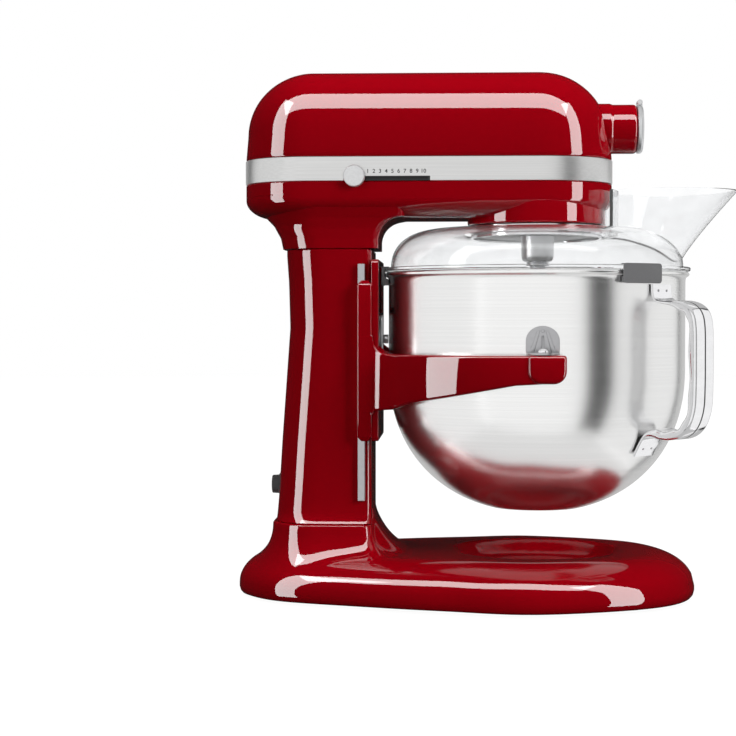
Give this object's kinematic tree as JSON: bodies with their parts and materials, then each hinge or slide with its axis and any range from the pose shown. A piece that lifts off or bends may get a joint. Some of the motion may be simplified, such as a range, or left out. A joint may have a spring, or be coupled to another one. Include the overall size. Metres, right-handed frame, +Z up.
{
  "type": "bowl-lift stand mixer",
  "caption": "Bowl-lift stand mixer with a steel bowl on a raised yoke, clear pouring shield, planetary drive head and power take-off hub.",
  "frame": {"origin": "on the worktop, under the middle of the whole object", "axes": "+Z up, +X the way the head points, +Y the side with the lift lever"},
  "size_m": [0.397, 0.264, 0.4168],
  "materials": {
    "red_enamel": "deep gloss enamel",
    "brushed_band": "brushed along its length",
    "bowl_steel": "fine circular brushing",
    "polished_steel": "polished",
    "satin_metal": "satin",
    "machined_steel": "machined",
    "cast_metal": "as cast",
    "copper_winding": "lacquered windings",
    "clear_plastic": "clear, moulded",
    "grey_plastic": "satin moulded",
    "black_plastic": "fine texture",
    "foot_rubber": "matt",
    "circuit_board": "varnished board"
  },
  "bodies": {
    "stand": {"base_plate": "red_enamel", "foot_1": "foot_rubber", "foot_2": "foot_rubber", "foot_3": "foot_rubber", "foot_4": "foot_rubber", "foot_5": "foot_rubber", "column": "red_enamel", "column_bolt_1": "machined_steel", "column_bolt_2": "machined_steel", "cord_gland": "black_plastic", "guide_rail_left": "polished_steel", "guide_rail_right": "polished_steel", "lift_bushing": "cast_metal", "gearcase_housing": "red_enamel", "motor_cover": "red_enamel", "trim_band": "brushed_band", "speed_slot_plate": "black_plastic", "drip_ring": "polished_steel", "attachment_hub": "red_enamel", "gearbox_frame": "cast_metal", "ring_gear": "machined_steel", "shaft_bearing_lower": "machined_steel", "shaft_bearing_upper": "machined_steel", "drive_bearing": "machined_steel", "motor_front_bearing": "machined_steel", "motor_stator": "machined_steel", "motor_rear_bracket": "cast_metal", "brush_ring": "black_plastic", "control_board": "circuit_board"},
    "bowl_carriage": {"bowl_carriage": "red_enamel", "locating_pin_left": "polished_steel", "locating_pin_right": "polished_steel", "latch_spring": "machined_steel"},
    "bowl": {"bowl": "bowl_steel", "bowl_ear_left": "bowl_steel", "bowl_ear_right": "bowl_steel", "bowl_handle": "polished_steel", "bowl_latch_pin": "machined_steel"},
    "pouring_shield": {"pouring_shield": "clear_plastic", "shield_clip_rear": "grey_plastic", "shield_clip_left": "grey_plastic", "shield_clip_right": "grey_plastic"},
    "lift_lever": {"lift_lever": "polished_steel", "lift_crank": "machined_steel"},
    "speed_lever": {"speed_lever": "satin_metal"},
    "power_switch": {"power_switch": "black_plastic"},
    "hub_cap": {"hub_cap": "satin_metal"},
    "attachment_knob": {"attachment_knob": "black_plastic"},
    "planetary": {"planetary_hub": "satin_metal", "planetary_shaft": "machined_steel", "crown_gear": "machined_steel"},
    "beater_shaft": {"beater_shaft": "machined_steel", "beater_pinion": "machined_steel"},
    "gear_drive": {"drive_shaft": "machined_steel", "spur_gear": "machined_steel"},
    "hub_drive": {"hub_drive": "machined_steel"},
    "armature": {"armature_shaft": "machined_steel", "armature_core": "copper_winding", "commutator": "copper_winding", "cooling_fan": "black_plastic"}
  },
  "joints": [
    {"name": "bowl_lift", "type": "slide", "parent": "stand", "child": "bowl_carriage", "axis": [0, 0, 1], "range_m": [-0.04, 0]},
    {"name": "bowl_lift_off", "type": "slide", "parent": "bowl_carriage", "child": "bowl", "axis": [0, 0, 1], "range_m": [0, 0.006]},
    {"name": "shield_turn", "type": "hinge", "parent": "bowl", "child": "pouring_shield", "pos_m": [0.0395, 0, 0.26], "axis": [0, 0, 1], "range_deg": [-20, 20]},
    {"name": "lift_lever_turn", "type": "hinge", "parent": "stand", "child": "lift_lever", "pos_m": [-0.1185, 0, 0.195], "axis": [0, -1, 0], "range_deg": [0, 90]},
    {"name": "speed_select", "type": "slide", "parent": "stand", "child": "speed_lever", "axis": [1, 0, 0], "range_m": [0, 0.055]},
    {"name": "power_rock", "type": "hinge", "parent": "stand", "child": "power_switch", "pos_m": [-0.1005, 0.051, 0.3375], "axis": [0, 0, -1], "range_deg": [0, 12]},
    {"name": "hub_cap_flip", "type": "hinge", "parent": "stand", "child": "hub_cap", "pos_m": [0.1211, 0, 0.393], "axis": [0, -1, 0], "range_deg": [0, 100]},
    {"name": "attachment_clamp", "type": "hinge", "parent": "stand", "child": "attachment_knob", "pos_m": [0.0935, 0, 0.372], "axis": [0, 1, 0], "range_deg": [0, 360]},
    {"name": "planetary_spin", "type": "hinge", "parent": "stand", "child": "planetary", "pos_m": [0.0395, 0, 0.29], "axis": [0, 0, 1], "continuous": true},
    {"name": "beater_spin", "type": "hinge", "parent": "planetary", "child": "beater_shaft", "pos_m": [0.0395, -0.025, 0.29], "axis": [0, 0, 1], "continuous": true},
    {"name": "gear_drive_spin", "type": "hinge", "parent": "stand", "child": "gear_drive", "pos_m": [-0.0105, 0, 0.372], "axis": [1, 0, 0], "continuous": true},
    {"name": "hub_drive_spin", "type": "hinge", "parent": "stand", "child": "hub_drive", "pos_m": [0.0845, 0, 0.372], "axis": [1, 0, 0], "continuous": true},
    {"name": "motor_spin", "type": "hinge", "parent": "stand", "child": "armature", "pos_m": [-0.0905, 0, 0.3495], "axis": [1, 0, 0], "continuous": true}
  ],
  "couplings": [
    {"joint": "lift_lever_turn", "follows": "bowl_lift", "rad_per_m": -39.26},
    {"joint": "beater_spin", "follows": "planetary_spin", "ratio": -3.5},
    {"joint": "gear_drive_spin", "follows": "planetary_spin", "ratio": -3},
    {"joint": "hub_drive_spin", "follows": "planetary_spin", "ratio": 3},
    {"joint": "motor_spin", "follows": "planetary_spin", "ratio": 10.5}
  ]
}
